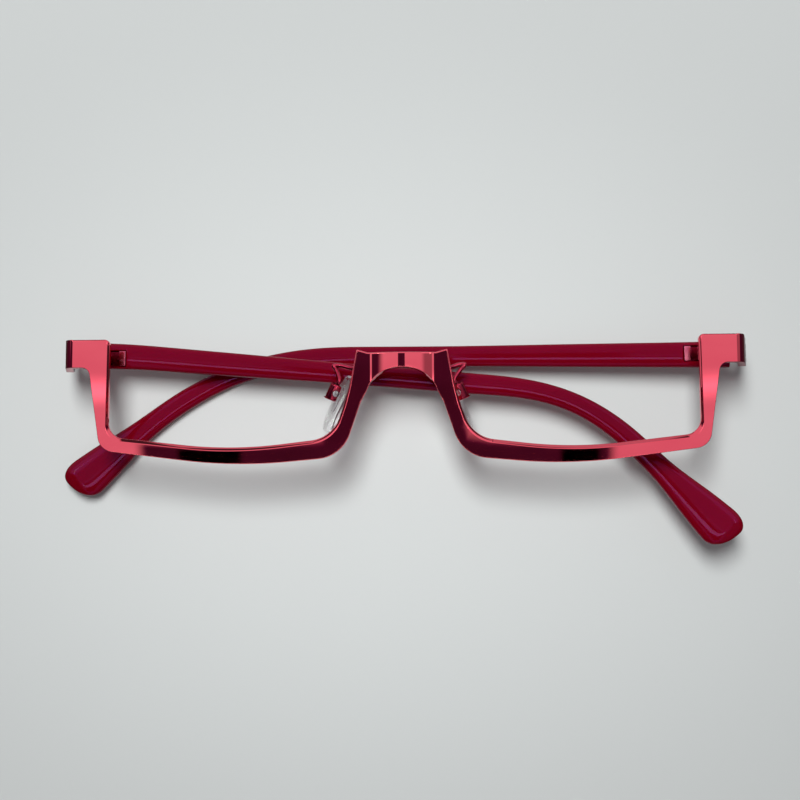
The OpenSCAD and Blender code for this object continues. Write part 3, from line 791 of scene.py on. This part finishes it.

# %% [markdown]
# ## Table
# The glasses lie on a pale matt table, with a painted pool of light that makes it lighter in the middle.
# Glossy rays see the table beside the glasses painted dark: a painted shadow in the bent ends of the
# metal.

# %% Table
LIGHT_POOL_MIDDLE, LIGHT_POOL_TO, LIGHT_POOL_END = (-0.005, -0.004, 0.0), 0.01, 0.11
SHADOW_ASIDE_FROM, SHADOW_ASIDE_TO = 0.070, 0.076
bpy.ops.object.select_all(action="DESELECT")
bpy.ops.mesh.primitive_plane_add(size=3, location=(0, 0, 0))
table = bpy.context.object
table.name = "table"
table.data.transform(Matrix.Translation((0, 0, -0.00005)))
TABLE, tree, shader = new_material("table_paper", Specular_IOR_Level=0.15)
place, far = tree.nodes.new("ShaderNodeTexCoord"), tree.nodes.new("ShaderNodeVectorMath")
narrow = tree.nodes.new("ShaderNodeVectorMath")
narrow.operation, far.operation = "MULTIPLY", "DISTANCE"
narrow.inputs[1].default_value = (0.75, 1, 1)
far.inputs[1].default_value = LIGHT_POOL_MIDDLE
# A painted pool of light: the colour is paler near the middle and duller further out.
light_pool_fade = tree.nodes.new("ShaderNodeMapRange")
light_pool_fade.interpolation_type = "SMOOTHSTEP"
light_pool_fade.inputs["From Min"].default_value = LIGHT_POOL_TO
light_pool_fade.inputs["From Max"].default_value = LIGHT_POOL_END
link(tree, place.outputs["Object"], narrow.inputs[0])
link(tree, narrow.outputs[0], far.inputs[0])
link(tree, far.outputs["Value"], light_pool_fade.inputs["Value"])
clouds(tree, shader, light_pool_fade.outputs[0], (0.70, 0.72, 0.72), (0.57, 0.585, 0.585))
link(tree, grain(tree, 60, 1, 3, 0.55, 0.7), shader.inputs["Roughness"])
# A painted shadow: glossy rays see a dark colour on the table beyond the ends of the front.
painted_shadow, seen_as = tree.nodes.new("ShaderNodeBsdfDiffuse"), tree.nodes.new("ShaderNodeMixShader")
painted_shadow.inputs["Color"].default_value = (0.06, 0.06, 0.065, 1)
path, split = tree.nodes.new("ShaderNodeLightPath"), tree.nodes.new("ShaderNodeSeparateXYZ")
out_side, shadow_aside = tree.nodes.new("ShaderNodeMath"), tree.nodes.new("ShaderNodeMapRange")
out_side.operation = "ABSOLUTE"
shadow_aside.inputs["From Min"].default_value = SHADOW_ASIDE_FROM
shadow_aside.inputs["From Max"].default_value = SHADOW_ASIDE_TO
link(tree, place.outputs["Object"], split.inputs[0])
link(tree, split.outputs["X"], out_side.inputs[0])
link(tree, out_side.outputs[0], shadow_aside.inputs["Value"])
link(tree, path.outputs["Is Glossy Ray"], shadow_aside.inputs["To Max"])
link(tree, shadow_aside.outputs[0], seen_as.inputs[0])
link(tree, shader.outputs[0], seen_as.inputs[1])
link(tree, painted_shadow.outputs[0], seen_as.inputs[2])
link(tree, seen_as.outputs[0], tree.nodes["Material Output"].inputs["Surface"])
table.data.materials.append(TABLE)
print("table:", table.name, "with", len(tree.nodes), "material nodes")

# %% [markdown]
# The temples open downwards, so at that pose the glasses stand on the tips. A Transformation
# constraint lowers the table by as much as the right temple's body sinks, and no further than
# the tips reach.

# %% Table under the open temples
def drop_of(piece, sign):
    """How far below the table's place a temple's tip comes when it is open."""
    axis = TO_FRAME @ Vector((sign * HINGE.x, 0, HINGE.z))
    return max(abs(vertex.co.x - axis.x) for vertex in bpy.data.objects[piece].data.vertices) - axis.z


right_axis = TO_FRAME @ Vector((HINGE.x, 0, HINGE.z))
tip_drop = max(drop_of("left_temple_fine", -1), drop_of("right_temple_fine", 1))
sink = table.constraints.new("TRANSFORM")
sink.target = frame["bodies"]["right_temple_body"]
sink.map_from = sink.map_to = "LOCATION"
sink.map_to_z_from = "Z"
sink.from_min_z, sink.from_max_z = right_axis.z - right_axis.x, 0
sink.to_min_z, sink.to_max_z = -tip_drop, 0
print("table sinks by at most:", tip_drop)

# %% [markdown]
# ## The room in the reflections
# Polished metal shows its room: a bright ceiling, darker low walls, and the dark shape of
# what stands over the table. The world shader draws these for glossy rays alone, by the
# ray's slope to the side (u) and up the table (v). A few pale glints have a background of
# their own, because their tint differs. All other light from the world is plain and nearly
# white.

# %% World nodes
world = bpy.data.worlds.new("room")
bpy.context.scene.world = world
world.use_nodes = True
wt = world.node_tree
wt.nodes.clear()


def calc(kind, a, b=None):
    node = wt.nodes.new("ShaderNodeMath")
    node.operation = kind
    for socket, value in zip(node.inputs, (a, b)):
        if isinstance(value, (int, float)):
            socket.default_value = value
        elif value is not None:
            link(wt, value, socket)
    return node.outputs[0]


def step(value, start, end):
    """0 at start and 1 at end, with a soft change between them."""
    node = wt.nodes.new("ShaderNodeMapRange")
    node.interpolation_type = "SMOOTHSTEP"
    node.inputs["From Min"].default_value = min(start, end)
    node.inputs["From Max"].default_value = max(start, end)
    node.inputs["To Min"].default_value = 0.0 if start < end else 1.0
    node.inputs["To Max"].default_value = 1.0 if start < end else 0.0
    link(wt, value, node.inputs["Value"])
    return node.outputs[0]


def both(*values):
    out = values[0]
    for value in values[1:]:
        out = calc("MULTIPLY", out, value)
    return out


def either(*values):
    out = values[0]
    for value in values[1:]:
        out = calc("MAXIMUM", out, value)
    return out


def patch(u0, u1, v0, v1, soft_u=0.006, soft_v=0.01):
    """A rectangle of the ceiling, from u0 to u1 and v0 to v1, with soft edges."""
    return both(step(u, u0 - soft_u, u0 + soft_u), step(u, u1 + soft_u, u1 - soft_u),
                step(v, v0 - soft_v, v0 + soft_v), step(v, v1 + soft_v, v1 - soft_v))


# %% [markdown]
# A mirrored ray leaves in some direction. Its sideways parts divided by its height are the
# slopes u and v, and a noise in the same direction makes the dark parts uneven.

# %% Slope of a mirrored ray
def blend(share, over, under):
    """over where share is 1, under where it is 0."""
    return calc("ADD", both(share, over), both(calc("SUBTRACT", 1.0, share), under))


coord = wt.nodes.new("ShaderNodeTexCoord")
axes = wt.nodes.new("ShaderNodeSeparateXYZ")
link(wt, coord.outputs["Generated"], axes.inputs[0])
height = calc("MAXIMUM", axes.outputs["Z"], 0.02)
u = calc("DIVIDE", axes.outputs["X"], height)
v = calc("DIVIDE", axes.outputs["Y"], height)
cloud = wt.nodes.new("ShaderNodeTexNoise")
cloud.inputs["Scale"].default_value = 22.0
cloud.inputs["Detail"].default_value = 4.0
link(wt, coord.outputs["Generated"], cloud.inputs["Vector"])

# %% [markdown]
# The room is a few plain shapes at round places, each of one brightness: a pale ceiling with
# two panes and a long lamp, something dark over the middle of the table with two black cards
# on it, a dark wall to the left, a grey one to the right, and little light down low. They
# stand where they make the metal dark in its middle and bright at its sides.

# %% The room
CEILING, PANE, LAMP, DIM, GLOOM = 0.9, 1.2, 1.2, 0.06, 0.06
uneven = calc("ADD", calc("MULTIPLY", cloud.outputs[0], 0.9), 0.55)
panes = either(patch(-0.85, -0.36, 0.20, 0.9, 0.01, 0.02), patch(0.36, 0.85, 0.20, 0.9, 0.01, 0.02))
long_lamp = patch(-0.35, 0.35, 0.10, 0.11)
ceiling = calc("ADD", calc("ADD", both(panes, PANE), both(long_lamp, LAMP)), CEILING)
over_table = either(patch(-0.24, 0.13, -0.6, 0.07), patch(-0.10, 0.02, 0.0, 0.19))
cards = either(patch(-0.21, -0.16, -0.6, 0.08, 0.003), patch(0.09, 0.12, -0.6, 0.08, 0.003))
walls = both(either(step(u, -0.35, -0.5), both(step(u, 0.3, 0.4), 0.6)), step(v, 0.30, 0.17))
low_down = both(step(axes.outputs["Z"], 0.42, 0.26), step(axes.outputs["Y"], 0.6, 0.35))
far_side = both(step(calc("ABSOLUTE", u), 1.1, 1.5), step(v, 0.8, 0.5))
room = blend(walls, GLOOM, ceiling)
room = blend(over_table, both(uneven, DIM, calc("SUBTRACT", 1.0, cards)), room)
mirror_light = blend(either(low_down, far_side), GLOOM, room)
dark = step(mirror_light, 0.30, 0.08)
print("light of the room: ceiling", CEILING, "dark parts", DIM)

# %% [markdown]
# The plastic, the pads and the shadows get plain light, so that their colours render about as
# they are written. A mirrored ray gets the room and the glints instead.

# %% Plain light for everything else
WORLD_LIGHT, SEEN_LIGHT, PALE_GLINT, TUBE_GLINT = 0.2, 0.35, 7.0, 14.0
path = wt.nodes.new("ShaderNodeLightPath")
plain = wt.nodes.new("ShaderNodeBackground")
plain.inputs["Color"].default_value = (1.0, 0.96, 1.0, 1)
strength = calc("ADD", both(path.outputs["Is Camera Ray"], SEEN_LIGHT), WORLD_LIGHT)
link(wt, strength, plain.inputs["Strength"])
seen = wt.nodes.new("ShaderNodeBackground")
tone = wt.nodes.new("ShaderNodeMix")
tone.data_type = "RGBA"
tone.inputs["A"].default_value = (0.98, 0.99, 1.0, 1)
tone.inputs["B"].default_value = (1.0, 0.35, 1.05, 1)
link(wt, dark, tone.inputs["Factor"])
link(wt, tone.outputs["Result"], seen.inputs["Color"])
link(wt, mirror_light, seen.inputs["Strength"])
glint, mirrored = wt.nodes.new("ShaderNodeBackground"), wt.nodes.new("ShaderNodeAddShader")
glint.inputs["Color"].default_value = (0.64, 1.0, 0.64, 1)
pale = both(patch(-0.285, 0.188, -0.08, 0.028, 0.004, 0.01), PALE_GLINT)
tubes = either(patch(-0.50, -0.47, 0.20, 0.45, 0.006, 0.02), patch(0.47, 0.50, 0.20, 0.45, 0.006, 0.02))
link(wt, either(pale, both(tubes, TUBE_GLINT)), glint.inputs["Strength"])
link(wt, seen.outputs[0], mirrored.inputs[0])
link(wt, glint.outputs[0], mirrored.inputs[1])
choice = wt.nodes.new("ShaderNodeMixShader")
world_out = wt.nodes.new("ShaderNodeOutputWorld")
link(wt, path.outputs["Is Glossy Ray"], choice.inputs[0])
link(wt, plain.outputs[0], choice.inputs[1])
link(wt, mirrored.outputs[0], choice.inputs[2])
link(wt, choice.outputs[0], world_out.inputs[0])
print("world nodes:", len(wt.nodes))

# %% [markdown]
# ## Lamp and camera
# One long soft lamp leans over the table from behind, for the shadows. Mirrored rays don't
# see it, because the room has a ceiling and a lamp of its own.

# %% Lamp
light = bpy.data.lights.new("window", "AREA")
light.shape = "ELLIPSE"
light.size, light.size_y = 0.24, 0.38
light.energy = 4.1
light.color = (0.975, 1.0, 0.985)
lamp = bpy.data.objects.new("window", light)
bpy.context.scene.collection.objects.link(lamp)
lamp.location = (-0.04, 0.22, 0.63)
lamp.visible_glossy = False
lamp.rotation_euler = Vector(lamp.location).to_track_quat("Z", "Y").to_euler()
print("lamp:", light.energy, "W")

# %% [markdown]
# The camera's place, tilt and lens were worked out from the outline of the front. It looks
# almost straight down, from about 260 mm.

# %% Camera
LEAN_X, LEAN_Y, ROLL = math.radians(2.0), math.radians(5.5), math.radians(0.28)
AIM, DISTANCE = Vector((-0.41, -12.99, 0)), 0.26
look = Vector((math.tan(LEAN_X), -math.tan(LEAN_Y), 1)).normalized()
upright = Vector((math.sin(ROLL), math.cos(ROLL), 0))
across = upright.cross(look).normalized()
turned = Matrix((across, look.cross(across), look)).transposed().to_4x4()
turned.translation = TO_FRAME @ AIM + DISTANCE * look
camera_data = bpy.data.cameras.new("camera")
camera_data.sensor_width = 36
camera_data.lens = 57.75
camera_data.clip_start = 0.005
camera = bpy.data.objects.new("camera", camera_data)
bpy.context.scene.collection.objects.link(camera)
camera.matrix_world = turned
bpy.context.scene.camera = camera
bpy.context.scene.view_settings.view_transform = "Standard"
print("camera at", camera.matrix_world.translation)
